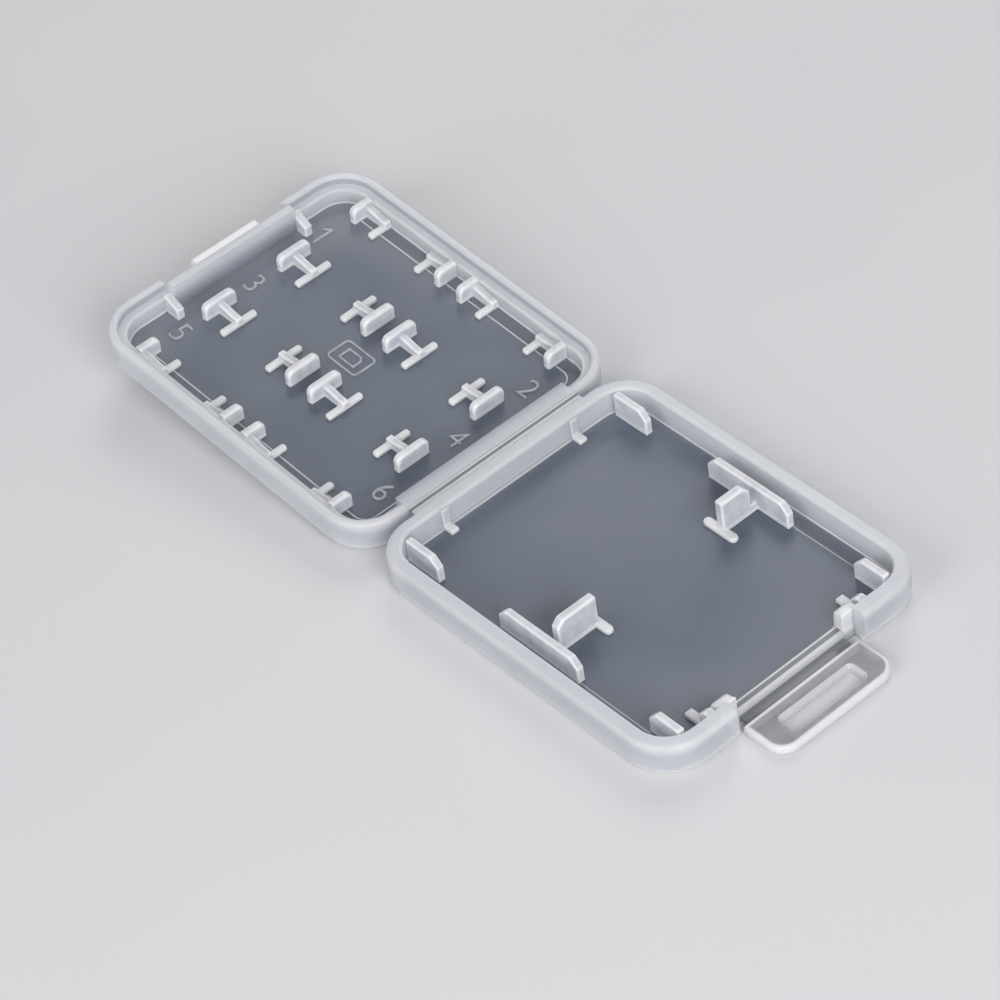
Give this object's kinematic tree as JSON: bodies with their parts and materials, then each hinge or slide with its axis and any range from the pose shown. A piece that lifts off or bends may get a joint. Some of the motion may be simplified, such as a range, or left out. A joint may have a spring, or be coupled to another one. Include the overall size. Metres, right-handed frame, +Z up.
{
  "type": "memory card case",
  "caption": "Flat see-through plastic memory card case, open: rounded lid with clips for micro cards, base with bays for larger cards, living hinge and slotted clasp flap.",
  "frame": {"origin": "under the middle of the whole open case, on the surface that the base stands on", "axes": "+X from the lid to the base and clasp, +Y along the hinge, +Z up, out of the open base"},
  "size_m": [0.1112, 0.0426, 0.0097],
  "materials": {
    "shell": "satin, milky and see-through",
    "fitting": "satin, milky and see-through",
    "flap": "satin, milky and see-through",
    "film": "thin, nearly clear"
  },
  "bodies": {
    "base": {"base_post_far": "fitting", "base_post_near": "fitting", "base_tray": "shell", "clasp_hinge_film": "film", "divider_far": "fitting", "divider_near": "fitting", "front_guide_far": "fitting", "front_guide_near": "fitting", "front_rib_far": "fitting", "front_rib_near": "fitting", "hinge_guide_far": "fitting", "hinge_guide_near": "fitting", "hinge_rib_far": "fitting", "hinge_rib_near": "fitting", "main_hinge_film": "film"},
    "lid": {"catch_lug": "fitting", "lid_clip_r1_c1": "fitting", "lid_clip_r1_c2": "fitting", "lid_clip_r1_c3": "fitting", "lid_clip_r1_c4": "fitting", "lid_clip_r2_c1": "fitting", "lid_clip_r2_c2": "fitting", "lid_clip_r2_c3": "fitting", "lid_clip_r2_c4": "fitting", "lid_clip_r3_c1": "fitting", "lid_clip_r3_c2": "fitting", "lid_clip_r3_c3": "fitting", "lid_clip_r3_c4": "fitting", "lid_clip_r4_c1": "fitting", "lid_clip_r4_c2": "fitting", "lid_clip_r4_c3": "fitting", "lid_clip_r4_c4": "fitting", "lid_post_far": "fitting", "lid_post_near": "fitting", "lid_shell": "shell"},
    "clasp": {"clasp_flap": "flap"}
  },
  "joints": [
    {"name": "lid_fold", "type": "hinge", "parent": "base", "child": "lid", "pos_m": [-0.00299, 0, 0.0048], "axis": [0, 1, 0], "range_deg": [-5, 175], "deforming": ["main_hinge_film"]},
    {"name": "clasp_fold", "type": "hinge", "parent": "base", "child": "clasp", "pos_m": [0.04828, 0, 0.00068], "axis": [0, -1, 0], "range_deg": [0, 90], "deforming": ["clasp_hinge_film"]}
  ]
}
